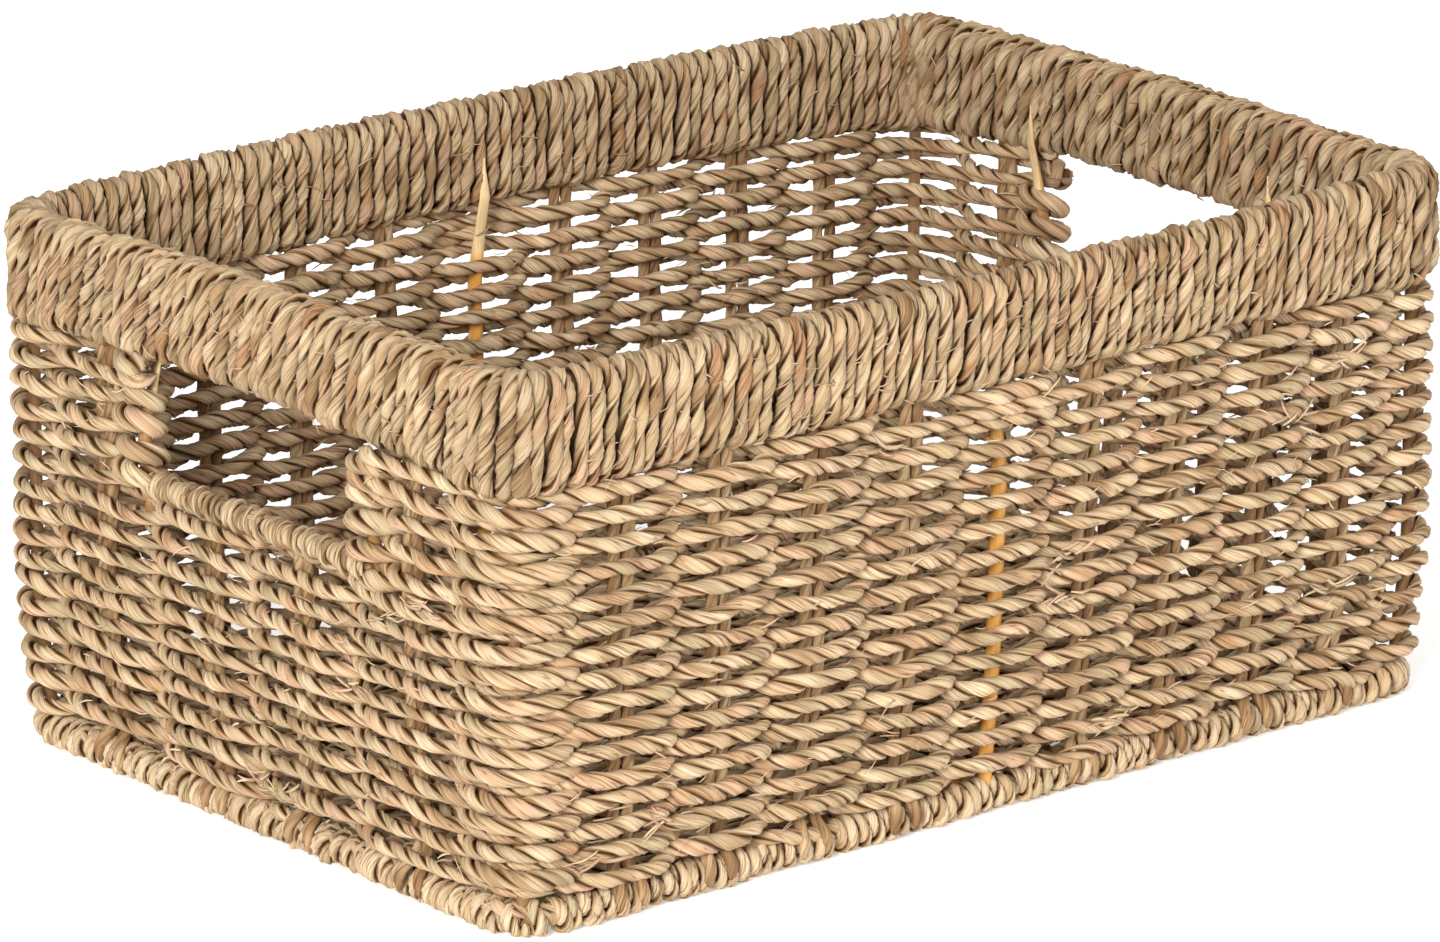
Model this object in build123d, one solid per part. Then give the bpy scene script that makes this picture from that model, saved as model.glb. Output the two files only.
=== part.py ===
from build123d import *
import math
import os

# A rectangular storage basket, woven from twisted seagrass cord over a rattan frame.
# The long side runs along X and the short side along Y, and the basket stands on z = 0.

# Driving dimensions, in millimetres
LENGTH = 393.0
WIDTH = 272.0
HEIGHT = 180.0
RIM_THICK = 15.2
RIM_TALL = 38.0
RIM_WRAP_THICK = 5.0
CORNER_RADIUS = 12.0
CORD_THICK = 4.4
COURSE_TALL = 4.2
COURSES = 30
FULL_COURSES = 20
ROD_RADIUS = 2.3
STRAND_RADIUS = 2.2
BASE_WRAP_RADIUS = 5.4
BASE_ROD_RADIUS = 2.4
BAR_RADIUS = 3.5
BAR_ROD_RADIUS = 1.8
BAR_LEVEL = 102.0
FLOOR_LEVEL = 7.2
GAP = 0.2

# Where the upright strands and stakes stand along each wall, from its middle
LONG_WALL_PAIRS = [-149.0, -111.75, -74.5, -37.25, 37.25, 74.5, 111.75, 149.0]
SHORT_WALL_PAIRS = [-81.0, -25.5, 25.5, 81.0]
PAIR_SPREAD = 2.25
HANDLE_STAKE = 61.5

# The centre plane of each wall, which the rim, the body and the base share
HALF_X = LENGTH / 2 - RIM_THICK / 2
HALF_Y = WIDTH / 2 - RIM_THICK / 2
POST_INSET = CORNER_RADIUS * (1 - math.sqrt(0.5))

# A cord swings this far to each side of the centre plane as it passes an upright
SWING = ROD_RADIUS + CORD_THICK / 2 + 0.1
WALL_HALF = SWING + CORD_THICK / 2

# Levels
BASE_LEVEL = BASE_WRAP_RADIUS - 0.2
BASE_TOP = BASE_LEVEL + BASE_WRAP_RADIUS
BODY_LOW = BASE_TOP + 0.4
RIM_LOW = HEIGHT - RIM_TALL
RIM_LEVEL = HEIGHT - RIM_TALL / 2
COURSE_PITCH = (RIM_LOW - GAP - BODY_LOW) / COURSES
RIM_BOTTOM_ROD = RIM_LOW + RIM_WRAP_THICK + ROD_RADIUS + GAP
RIM_TOP_ROD = HEIGHT - RIM_WRAP_THICK - ROD_RADIUS - GAP
UPRIGHT_LOW = BASE_LEVEL + BASE_ROD_RADIUS + GAP
UPRIGHT_TOP = RIM_BOTTOM_ROD - ROD_RADIUS - GAP
STAKE_FOOT = BODY_LOW + FULL_COURSES * COURSE_PITCH + GAP

# Half lengths of cord that lie straight beside a pair of strands, beside a stake and before a corner
PAIR_FLAT = 4.4
STAKE_FLAT = 2.0
CORNER_LEAD = 2.0
BEND_RADIUS = 4.5
TURN_RADIUS = 4.0

# Courses beside the handle bar stop short of the stake, and the top courses pass outside every stake
BAR_COURSES = 2
TOP_COURSES = 3
CUT_END = HANDLE_STAKE + 4.5

# The shaved top of a stake, which leans in to lie against the rim's inner face
TONGUE_THICK = 2.4
TONGUE_WIDE = 4.2
TONGUE_TOP = 168.0
TONGUE_OFFSET = RIM_THICK / 2 - TONGUE_THICK / 2 - 0.1
LEAN_LOW = 130.0
TONGUE_CORE = 0.3

os.makedirs("parts", exist_ok=True)


def save(shapes, name):
    solids = [solid for shape in shapes for solid in shape.solids()]
    export_step(Compound(solids), f"parts/{name}.step", write_pcurves=False)


# Each wall's plan: along runs the way the courses are walked, and out is measured from its centre plane
def front_wall(along, out):
    return (along, -HALF_Y - out)


def right_wall(along, out):
    return (HALF_X + out, along)


def back_wall(along, out):
    return (-along, HALF_Y + out)


def left_wall(along, out):
    return (-HALF_X - out, -along)


HALF_LENGTH = {front_wall: HALF_X, right_wall: HALF_Y, back_wall: HALF_X, left_wall: HALF_Y}
QUARTER = {front_wall: 0, right_wall: 90, back_wall: 180, left_wall: 270}


# Flat outlines of bent cords
def heading(start, end):
    length = math.dist(start, end)
    return ((end[0] - start[0]) / length, (end[1] - start[1]) / length)


def without_straight_corners(bends):
    """Drops each point that lies in line with its neighbours."""
    kept = []
    for i, (point, radius) in enumerate(bends):
        before = heading(bends[i - 1][0], point)
        after = heading(point, bends[(i + 1) % len(bends)][0])
        if abs(before[0] * after[1] - before[1] * after[0]) > 1e-6:
            kept.append((point, radius))
    return kept


def shifted(bends, side, closed):
    """The bent line that runs beside the given one, side to its left, with concentric bends."""
    line = []
    for i, (point, radius) in enumerate(bends):
        first = i == 0 and not closed
        last = i == len(bends) - 1 and not closed
        after = None if last else heading(point, bends[(i + 1) % len(bends)][0])
        before = after if first else heading(bends[i - 1][0], point)
        after = after or before
        reach = side / (1 + before[0] * after[0] + before[1] * after[1])
        corner = (
            point[0] - (before[1] + after[1]) * reach,
            point[1] + (before[0] + after[0]) * reach,
        )
        left_turn = before[0] * after[1] > before[1] * after[0]
        tighter = side if left_turn else -side
        line.append((corner, 0 if first or last else radius - tighter))
    return line


def outline(bends):
    """The face inside straight runs joined by tangent arcs, one arc of its own radius at each point."""
    runs = []
    for i, (point, radius) in enumerate(bends):
        before = heading(bends[i - 1][0], point)
        after = heading(point, bends[(i + 1) % len(bends)][0])
        half_cosine = math.sqrt((1 + before[0] * after[0] + before[1] * after[1]) / 2)
        half_tangent = math.sqrt(1 - half_cosine**2) / half_cosine
        inward = (after[0] - before[0], after[1] - before[1])
        rise = radius * (1 / half_cosine - 1) / math.hypot(*inward)
        runs.append(
            (
                (point[0] - before[0] * radius * half_tangent, point[1] - before[1] * radius * half_tangent),
                (point[0] + inward[0] * rise, point[1] + inward[1] * rise),
                (point[0] + after[0] * radius * half_tangent, point[1] + after[1] * radius * half_tangent),
                radius > 0,
            )
        )
    edges = []
    for i, (start, middle, end, rounded) in enumerate(runs):
        edges.append(Line(runs[i - 1][2], start))
        if rounded:
            edges.append(ThreePointArc(start, middle, end))
    return make_face(edges)


def closed_cord(bends):
    bends = without_straight_corners(bends)
    half = CORD_THICK / 2
    return outline(shifted(bends, -half, True)) - outline(shifted(bends, half, True))


def open_cord(bends):
    ends = bends[0], bends[-1]
    bends = [ends[0], *[b for b in without_straight_corners(bends) if b not in ends], ends[1]]
    half = CORD_THICK / 2
    return outline(shifted(bends, -half, False) + shifted(bends, half, False)[::-1])


# The weft: courses of cord that pass the uprights by turns outside and inside
LONG_STATIONS = sorted([(along, PAIR_FLAT) for along in LONG_WALL_PAIRS] + [(0.0, STAKE_FLAT)])
SHORT_STATIONS = [(along, PAIR_FLAT) for along in SHORT_WALL_PAIRS]


def past(wall, along, flat, out):
    """A cord's two bends as it passes an upright."""
    return [
        (wall(along - flat, out), BEND_RADIUS),
        (wall(along + flat, out), BEND_RADIUS),
    ]


def corner(wall, next_wall, out):
    """A cord's bends as it goes round a corner post."""
    lead = CORNER_RADIUS + CORNER_LEAD
    return [
        (wall(HALF_LENGTH[wall] - lead, out), BEND_RADIUS),
        (wall(HALF_LENGTH[wall] + out, out), CORNER_RADIUS + out),
        (next_wall(lead - HALF_LENGTH[next_wall], out), BEND_RADIUS),
    ]


def along_wall(wall, stations, out, passes_outside_stake):
    """A cord's bends along one wall, starting at the distance out, and its distance after the last upright."""
    bends = []
    for along, flat in stations:
        at_stake = flat == STAKE_FLAT
        bends += past(wall, along, flat, SWING if at_stake and passes_outside_stake else out)
        out = -out
    return bends, out


def full_course(out):
    """A course that goes all the way round, out beyond the front left corner post."""
    bends = []
    stations = [LONG_STATIONS, SHORT_STATIONS] * 2
    for wall, places, last_wall in zip(HALF_LENGTH, stations, [left_wall, front_wall, right_wall, back_wall]):
        bends += corner(last_wall, wall, out)
        wall_bends, out = along_wall(wall, places, -out, False)
        bends += wall_bends
    return closed_cord(bends)


def handle_end(wall, facing, out, beside_bar):
    """Where a part course ends: turned in round the handle stake, or cut off beside the bar."""
    if beside_bar:
        return [(wall(facing * CUT_END, -out), 0)]
    tip = facing * (HANDLE_STAKE - SWING)
    return [
        (wall(tip, math.copysign(GAP / 2, out)), 0),
        (wall(tip, out), TURN_RADIUS),
        (wall(facing * (HANDLE_STAKE + STAKE_FLAT), out), BEND_RADIUS),
    ]


def part_course(walls, out, beside_bar, at_top):
    """A course from one handle round a long wall to the other handle, out beyond its first corner post."""
    first, middle, last = walls
    pair = SHORT_WALL_PAIRS[-1]
    ends_out = SWING if at_top else out
    bends = handle_end(first, 1, ends_out if not beside_bar else out, beside_bar)
    bends += past(first, pair, PAIR_FLAT, -out)
    bends += corner(first, middle, out)
    wall_bends, after = along_wall(middle, LONG_STATIONS, -out, at_top)
    bends += wall_bends
    bends += corner(middle, last, after)
    bends += past(last, -pair, PAIR_FLAT, -after)
    bends += handle_end(last, -1, ends_out if not beside_bar else after, beside_bar)[::-1]
    return open_cord(bends)


def weft_courses():
    faces = {}
    for number in range(COURSES):
        out = SWING if number % 2 == 0 else -SWING
        beside_bar = FULL_COURSES <= number < FULL_COURSES + BAR_COURSES
        at_top = number >= COURSES - TOP_COURSES
        key = (out, number < FULL_COURSES, beside_bar, at_top)
        if key not in faces and number < FULL_COURSES:
            faces[key] = [full_course(out)]
        elif key not in faces:
            front = part_course((left_wall, front_wall, right_wall), out, beside_bar, at_top)
            back = part_course((right_wall, back_wall, left_wall), -out, beside_bar, at_top)
            faces[key] = [front, back]
        low = BODY_LOW + (number + 0.5) * COURSE_PITCH - COURSE_TALL / 2
        cords = [Pos(0, 0, low) * extrude(face, COURSE_TALL) for face in faces[key]]
        save(cords, f"weft_course_{number + 1:02d}")


# Rings: rods and their wrapping
def ring_line():
    return RectangleRounded(2 * HALF_X, 2 * HALF_Y, CORNER_RADIUS).wire()


def ring(section, level):
    """A section, drawn across the wall with its second axis up, carried round the basket."""
    path = Pos(0, 0, level) * ring_line()
    start = path @ 0
    tangent = path % 0
    plane = Plane(origin=start, x_dir=Vector(0, 0, 1).cross(tangent), z_dir=tangent)
    return sweep(plane * section, path=path)


def rods_round_the_basket():
    save([ring(Circle(BASE_ROD_RADIUS), BASE_LEVEL)], "base_rod")
    save([ring(Circle(ROD_RADIUS), RIM_BOTTOM_ROD)], "rim_bottom_rod")
    save([ring(Circle(ROD_RADIUS), RIM_TOP_ROD)], "rim_top_rod")


def upright_places():
    """Every upright as wall, distance along it, and half the width of the hole it needs in a wrapping."""
    places = []
    for wall in HALF_LENGTH:
        long_wall = HALF_LENGTH[wall] == HALF_X
        pairs = LONG_WALL_PAIRS if long_wall else SHORT_WALL_PAIRS
        places += [(wall, along, PAIR_SPREAD + STRAND_RADIUS + GAP) for along in pairs]
        stakes = [0.0] if long_wall else [-HANDLE_STAKE, HANDLE_STAKE]
        places += [(wall, along, ROD_RADIUS + GAP) for along in stakes]
    return places


def hole(wall, along, half, low, high):
    """A slot through a wrapping, for an upright."""
    x, y = wall(along, 0)
    turn = Rot(0, 0, QUARTER[wall])
    tall = high - low
    return Pos(x, y, (low + high) / 2) * turn * Box(2 * half, 2 * (ROD_RADIUS + GAP), tall)


def post_places():
    x, y = HALF_X - POST_INSET, HALF_Y - POST_INSET
    return {
        "front_left": (-x, -y),
        "front_right": (x, -y),
        "back_left": (-x, y),
        "back_right": (x, y),
    }


def tongue_places():
    places = [(front_wall, 0.0), (back_wall, 0.0)]
    return places + [(w, s * HANDLE_STAKE) for w in (right_wall, left_wall) for s in (-1, 1)]


def groove(wall, along):
    """The parted wrapping that a stake's tongue lies in, on the rim's inner face."""
    deep = TONGUE_THICK + 1.0
    out = -TONGUE_OFFSET - 0.5 + GAP
    x, y = wall(along, out)
    turn = Rot(0, 0, QUARTER[wall])
    low, high = RIM_LOW - 1.0, TONGUE_TOP + 2 * GAP
    return Pos(x, y, (low + high) / 2) * turn * Box(TONGUE_WIDE + 2 * GAP, deep, high - low)


def wrappings():
    hollow = SlotOverall(RIM_TALL - 2 * RIM_WRAP_THICK, RIM_THICK - 2 * RIM_WRAP_THICK, rotation=90)
    rim = ring(SlotOverall(RIM_TALL, RIM_THICK, rotation=90) - hollow, RIM_LEVEL)
    base = ring(Circle(BASE_WRAP_RADIUS) - Circle(BASE_ROD_RADIUS + GAP), BASE_LEVEL)
    base -= Pos(0, 0, -5) * Box(LENGTH, WIDTH, 10)
    for wall, along, half in upright_places():
        rim -= hole(wall, along, half, RIM_LOW - 1, UPRIGHT_TOP + GAP)
        if wall in (front_wall, back_wall) or abs(along) != HANDLE_STAKE:
            base -= hole(wall, along, half, BASE_LEVEL, BASE_TOP + 1)
    for x, y in post_places().values():
        rim -= Pos(x, y, RIM_LOW - 1) * extrude(Circle(ROD_RADIUS + GAP), UPRIGHT_TOP + GAP + 1 - RIM_LOW)
        base -= Pos(x, y, BASE_LEVEL) * extrude(Circle(ROD_RADIUS + GAP), BASE_WRAP_RADIUS + 1)
    for wall, along in tongue_places():
        rim -= groove(wall, along)
    save([rim], "rim_wrap")
    save([base], "base_wrap")


# Uprights
def rod(x, y, low, high, radius):
    return Pos(x, y, low) * extrude(Circle(radius), high - low)


def corner_posts():
    for name, (x, y) in post_places().items():
        save([rod(x, y, UPRIGHT_LOW, UPRIGHT_TOP, ROD_RADIUS)], f"corner_post_{name}")


def stake(wall, along, foot):
    """A rattan rod whose top is shaved to a tongue that leans in past the top courses."""
    inner, outer = TONGUE_OFFSET + TONGUE_THICK / 2, TONGUE_OFFSET - TONGUE_THICK / 2
    core = ROD_RADIUS * TONGUE_CORE
    side = [
        (core, LEAN_LOW - 4),
        (core, LEAN_LOW - 1),
        (inner, RIM_LOW - 1),
        (inner, TONGUE_TOP),
        (outer, TONGUE_TOP),
        (outer, RIM_LOW),
        (-core, LEAN_LOW + 1),
        (-core, LEAN_LOW - 4),
    ]
    across_wall = Plane(origin=(0, 0, 0), x_dir=(0, 1, 0), z_dir=(1, 0, 0))
    tongue = extrude(across_wall * make_face(Polyline(*side, close=True)), TONGUE_WIDE / 2, both=True)
    whole = tongue + rod(0, 0, foot, LEAN_LOW - 2, ROD_RADIUS)
    x, y = wall(along, 0)
    return Pos(x, y, 0) * Rot(0, 0, QUARTER[wall]) * whole


def stakes():
    save([stake(front_wall, 0, UPRIGHT_LOW)], "mid_stake_front")
    save([stake(back_wall, 0, UPRIGHT_LOW)], "mid_stake_back")
    save([stake(right_wall, -HANDLE_STAKE, STAKE_FOOT)], "handle_stake_right_front")
    save([stake(right_wall, HANDLE_STAKE, STAKE_FOOT)], "handle_stake_right_back")
    save([stake(left_wall, -HANDLE_STAKE, STAKE_FOOT)], "handle_stake_left_back")
    save([stake(left_wall, HANDLE_STAKE, STAKE_FOOT)], "handle_stake_left_front")


def strand_pairs():
    """Doubled cords that stand side by side; those under a handle stop at its bar."""
    names = {front_wall: "front", right_wall: "right", back_wall: "back", left_wall: "left"}
    for wall, name in names.items():
        long_wall = HALF_LENGTH[wall] == HALF_X
        strands = []
        for along in LONG_WALL_PAIRS if long_wall else SHORT_WALL_PAIRS:
            under_bar = not long_wall and abs(along) < HANDLE_STAKE
            top = BAR_LEVEL - BAR_RADIUS - GAP if under_bar else UPRIGHT_TOP
            for spread in (-PAIR_SPREAD, PAIR_SPREAD):
                x, y = wall(along + spread, 0)
                strands.append(rod(x, y, UPRIGHT_LOW, top, STRAND_RADIUS))
        save(strands, f"warp_strands_{name}")


def handle_bars():
    reach = HANDLE_STAKE - ROD_RADIUS - GAP
    sleeve = Circle(BAR_RADIUS) - Circle(BAR_ROD_RADIUS + 0.1)
    for name, x in (("left", -HALF_X), ("right", HALF_X)):
        plane = Plane(origin=(x, 0, BAR_LEVEL), x_dir=(1, 0, 0), z_dir=(0, 1, 0))
        save([extrude(plane * Circle(BAR_ROD_RADIUS), reach, both=True)], f"handle_rod_{name}")
        save([extrude(plane * sleeve, reach, both=True)], f"handle_wrap_{name}")


# The floor: strands and a rattan rod across it, and courses woven over and under them
FLOOR_HALF_X = HALF_X - WALL_HALF - 2 * GAP
FLOOR_HALF_Y = HALF_Y - WALL_HALF - 2 * GAP
FLOOR_REACH = HALF_Y - BASE_WRAP_RADIUS - GAP
INNER_CORNER = CORNER_RADIUS - WALL_HALF
FLOOR_END_RUN = 6.0


def floor_uprights():
    def lying(x, radius):
        plane = Plane(origin=(x, 0, FLOOR_LEVEL), x_dir=(1, 0, 0), z_dir=(0, 1, 0))
        return extrude(plane * Circle(radius), FLOOR_REACH, both=True)

    spreads = (-PAIR_SPREAD, PAIR_SPREAD)
    save([lying(x + s, STRAND_RADIUS) for x in LONG_WALL_PAIRS for s in spreads], "floor_strands")
    save([lying(0, ROD_RADIUS)], "floor_rod")


def floor_cord(up, half_length):
    """One course of the floor, seen from the side, with its first crossing at the height up."""
    bends = [((-half_length, -up), 0), ((FLOOR_END_RUN - half_length, -up), BEND_RADIUS)]
    for along, flat in LONG_STATIONS:
        bends += [((along - flat, up), BEND_RADIUS), ((along + flat, up), BEND_RADIUS)]
        up = -up
    bends += [((half_length - FLOOR_END_RUN, up), BEND_RADIUS), ((half_length, up), 0)]
    return open_cord(bends)


def floor_courses():
    rows = int(2 * FLOOR_HALF_Y / COURSE_PITCH)
    faces, cords = {}, []
    for row in range(rows):
        y = (row - (rows - 1) / 2) * COURSE_PITCH
        past_corner = max(0.0, abs(y) + COURSE_TALL / 2 - (FLOOR_HALF_Y - INNER_CORNER))
        drop = INNER_CORNER - math.sqrt(INNER_CORNER**2 - min(past_corner, INNER_CORNER) ** 2)
        key = (SWING if row % 2 == 0 else -SWING, round(FLOOR_HALF_X - drop, 3))
        if key not in faces:
            faces[key] = floor_cord(*key)
        plane = Plane(origin=(0, y, FLOOR_LEVEL), x_dir=(1, 0, 0), z_dir=(0, -1, 0))
        cords.append(extrude(plane * faces[key], COURSE_TALL / 2, both=True))
    save(cords, "floor_courses")


rods_round_the_basket()
wrappings()
corner_posts()
stakes()
strand_pairs()
handle_bars()
weft_courses()
floor_uprights()
floor_courses()
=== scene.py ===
import math

import bpy
import numpy as np
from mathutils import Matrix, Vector


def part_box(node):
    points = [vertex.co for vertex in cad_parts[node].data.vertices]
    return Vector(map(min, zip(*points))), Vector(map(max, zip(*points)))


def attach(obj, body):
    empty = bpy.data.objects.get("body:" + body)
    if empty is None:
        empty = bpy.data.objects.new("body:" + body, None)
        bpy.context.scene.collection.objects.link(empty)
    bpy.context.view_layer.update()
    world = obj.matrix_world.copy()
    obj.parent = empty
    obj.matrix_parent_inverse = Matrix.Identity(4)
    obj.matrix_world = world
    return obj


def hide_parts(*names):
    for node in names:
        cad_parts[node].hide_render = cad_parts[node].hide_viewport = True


# The woven seagrass basket around its CAD frame. Lengths are worked out in millimetres, meshes in metres.
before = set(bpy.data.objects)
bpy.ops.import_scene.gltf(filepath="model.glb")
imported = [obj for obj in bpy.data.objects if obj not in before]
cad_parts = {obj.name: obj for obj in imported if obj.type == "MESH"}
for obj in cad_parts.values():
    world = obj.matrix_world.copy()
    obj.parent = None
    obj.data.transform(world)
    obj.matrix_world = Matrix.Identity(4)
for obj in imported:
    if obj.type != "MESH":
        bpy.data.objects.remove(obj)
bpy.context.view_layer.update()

MM = 0.001
UP = np.array([0.0, 0.0, 1.0])
BACKWARD = np.array([0.0, 1.0, 0.0])
RIGHTWARD = np.array([1.0, 0.0, 0.0])


def box_mm(node):
    """The low and high corner of a node's box, in millimetres."""
    low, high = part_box(node)
    return np.array(low) / MM, np.array(high) / MM


# Sizes that the frame gives, with the rim's half depth and the CAD cord's thickness
rim_low, rim_high = box_mm("rim_wrap")
_, base_high = box_mm("base_wrap")
course_low, course_high = box_mm("weft_course_01")
next_low, _ = box_mm("weft_course_02")
bar_low, bar_high = box_mm("handle_rod_left")
floor_low, floor_high = box_mm("floor_courses")
stake_low, stake_high = box_mm("handle_stake_right_back")
HEIGHT = rim_high[2]
RIM_LOW = rim_low[2]
RIM_HALF = 7.6
HALF_X = rim_high[0] - RIM_HALF
HALF_Y = rim_high[1] - RIM_HALF
COURSE_PITCH = next_low[2] - course_low[2]
FIRST_LEVEL = (course_low[2] + course_high[2]) / 2
CORD_THICK = 4.4
SWING = course_high[1] - HALF_Y - CORD_THICK / 2
BASE_RADIUS = base_high[1] - HALF_Y
BASE_LEVEL = base_high[2] - BASE_RADIUS
BAR_LEVEL = (bar_low[2] + bar_high[2]) / 2
HANDLE_STAKE = (stake_low[1] + stake_high[1]) / 2
FLOOR_LEVEL = (floor_low[2] + floor_high[2]) / 2

# Places that the frame's parts share
CORNER = 12.0
LONG_PAIRS = [-149.0, -111.75, -74.5, -37.25, 37.25, 74.5, 111.75, 149.0]
SHORT_PAIRS = [-81.0, -25.5, 25.5, 81.0]
PAIR_SPREAD = 2.25
COURSES = 30
FULL_COURSES = 20
TOP_COURSES = 3

# How the real walls differ from flat ones: the long ones bow out at the rim, the foot draws in, and the top
# arches over the handle openings and drops at the corners
BOW = 9.0
CORNER_DRAW = 3.5
FOOT_DRAW = 3.5
FOOT_HEIGHT = 60.0
HANDLE_ARCH = 2.0
CORNER_DROP = 1.5
ARCH_LEVELS = (90.0, 150.0)


# Smooth values and random ones
def drift(source, s, step):
    """Random values from -1 to 1 that change smoothly, with a fresh one every step along s."""
    x = (s - s.min()) / step
    knots = source.uniform(-1, 1, int(x.max()) + 3)
    i = x.astype(int)
    f = smooth(x - i, 0, 1)
    return knots[i] * (1 - f) + knots[i + 1] * f


def smooth(x, low, high):
    """0 below low, 1 above high, and smooth between them."""
    t = np.clip((x - low) / (high - low), 0, 1)
    return t * t * (3 - 2 * t)


def random_of(name):
    """A random source that a name seeds."""
    return np.random.default_rng(sum(ord(c) * (i + 3) for i, c in enumerate(name)))


# The walls' centre line, walked counter-clockwise from the middle of the front left corner
def plan_table():
    """Points, normals and lengths along a rounded rectangle."""
    points, normals = [], []
    for x, y, start in ((-1, -1, 180), (1, -1, 270), (1, 1, 0), (-1, 1, 90)):
        for turn in range(0, 91, 5):
            angle = math.radians(start + turn)
            normal = (math.cos(angle), math.sin(angle))
            normals.append(normal)
            centre = (x * (HALF_X - CORNER), y * (HALF_Y - CORNER))
            points.append((centre[0] + CORNER * normal[0], centre[1] + CORNER * normal[1]))
    middle = 9
    points = np.array(points[middle:] + points[: middle + 1])
    normals = np.array(normals[middle:] + normals[: middle + 1])
    lengths = np.concatenate([[0], np.cumsum(np.linalg.norm(np.diff(points, axis=0), axis=1))])
    return points, normals, lengths


PLAN_POINTS, PLAN_NORMALS, PLAN_LENGTHS = plan_table()
PERIMETER = PLAN_LENGTHS[-1]
HALF_ARC = (PERIMETER - 4 * (HALF_X + HALF_Y - 2 * CORNER)) / 8
LONG_RUN = 2 * (HALF_X - CORNER)
SHORT_RUN = 2 * (HALF_Y - CORNER)


def plan(s):
    """Plan point, outward normal and direction at each length s."""
    s = np.mod(s, PERIMETER)
    point = np.stack([np.interp(s, PLAN_LENGTHS, PLAN_POINTS[:, k]) for k in (0, 1)], 1)
    normal = np.stack([np.interp(s, PLAN_LENGTHS, PLAN_NORMALS[:, k]) for k in (0, 1)], 1)
    normal /= np.linalg.norm(normal, axis=1, keepdims=True)
    direction = np.stack([-normal[:, 1], normal[:, 0]], 1)
    return point, normal, direction


WALL_START = {
    "front": HALF_ARC,
    "right": 3 * HALF_ARC + LONG_RUN,
    "back": 5 * HALF_ARC + LONG_RUN + SHORT_RUN,
    "left": 7 * HALF_ARC + 2 * LONG_RUN + SHORT_RUN,
}
LONG_WALLS = ("front", "back")
SHORT_WALLS = ("left", "right")
WALL_HALF = {wall: (LONG_RUN if wall in LONG_WALLS else SHORT_RUN) / 2 for wall in WALL_START}


def along_wall(s):
    """The level direction along the wall at each length s."""
    return np.column_stack([plan(s)[2], np.zeros(len(s))])


def on_wall(wall, along):
    """The length s of a place on a wall, along from its middle the way courses are walked."""
    return WALL_START[wall] + WALL_HALF[wall] + along


def wall_point(s, out, z):
    """Points at lengths s, distances out from the centre line and heights z, on walls that bow."""
    point, normal, _ = plan(s)
    x, y = point[:, 0] / HALF_X, point[:, 1] / HALF_Y
    up = np.clip(z / HEIGHT, 0, 1.1)
    foot = 1 - smooth(z, 0.0, FOOT_HEIGHT)
    middle_long = np.clip(1 - x**2, 0, 1)
    middle_short = np.clip(1 - y**2, 0, 1)
    on_long = smooth(np.abs(normal[:, 1]), 0.3, 0.9)
    moved = point + normal * np.reshape(out, (-1, 1))
    moved[:, 0] -= np.sign(x) * FOOT_DRAW * foot * smooth(np.abs(x), 0.6, 1.0)
    moved[:, 1] += np.sign(y) * (BOW * middle_long * up * on_long - CORNER_DRAW * (0.35 + 0.65 * up))
    moved[:, 1] -= np.sign(y) * FOOT_DRAW * 0.6 * foot
    high = smooth(z, *ARCH_LEVELS)
    rise = HANDLE_ARCH * middle_short * (1 - on_long)
    drop = CORNER_DROP * (1 - middle_short) * (1 - middle_long)
    return np.column_stack([moved, z + high * (rise - drop)])


def crossings():
    """Every crossing in walking order: its length s and whether a stake stands there."""
    found = []
    for wall in WALL_START:
        found.append((WALL_START[wall] - HALF_ARC, False))
        pairs, stakes = (LONG_PAIRS, [0.0]) if wall in LONG_WALLS else (SHORT_PAIRS, [])
        found += [(on_wall(wall, along), along in stakes) for along in sorted(pairs + stakes)]
    return found


CROSSINGS = crossings()


# Colours
def linear(red, green, blue):
    """A colour's linear values from its 0 to 255 screen values."""
    c = np.array([red, green, blue]) / 255
    return np.where(c <= 0.04045, c / 12.92, ((c + 0.055) / 1.055) ** 2.4)


BODY_COLOURS = [
    (linear(205, 177, 141), 0.36),
    (linear(216, 191, 156), 0.24),
    (linear(209, 175, 142), 0.12),
    (linear(193, 171, 135), 0.14),
    (linear(183, 152, 116), 0.11),
    (linear(197, 160, 124), 0.03),
]
RIM_COLOURS = [
    (linear(187, 161, 126), 0.36),
    (linear(198, 174, 140), 0.24),
    (linear(188, 156, 124), 0.16),
    (linear(174, 152, 118), 0.12),
    (linear(159, 129, 94), 0.10),
    (linear(174, 134, 98), 0.02),
]
WARP_COLOURS = [
    (linear(176, 144, 106), 0.4),
    (linear(150, 116, 80), 0.35),
    (linear(196, 168, 130), 0.25),
]
BASE_COLOURS = [
    (linear(206, 180, 145), 0.45),
    (linear(218, 194, 160), 0.35),
    (linear(194, 165, 129), 0.12),
    (linear(196, 177, 142), 0.08),
]
BAR_COLOURS = [
    (linear(196, 171, 137), 0.45),
    (linear(160, 132, 98), 0.30),
    (linear(208, 186, 153), 0.25),
]


def strand_colours(source, s, step, palette):
    """Colour along a strand, which turns from one of the palette's colours to another every step or so."""
    colours = np.array([c for c, _ in palette])
    weights = np.array([w for _, w in palette])
    x = (s - s.min()) / step + 0.35 * drift(source, s, step * 3)
    x -= x.min()
    picks = source.choice(len(palette), int(x.max()) + 3, p=weights)
    i = x.astype(int)
    f = smooth(x - i, 0.3, 0.7)[:, None]
    mixed = colours[picks[i]] * (1 - f) + colours[picks[i + 1]] * f
    return mixed * (1 + 0.08 * drift(source, s, step * 0.6))[:, None]


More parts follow.
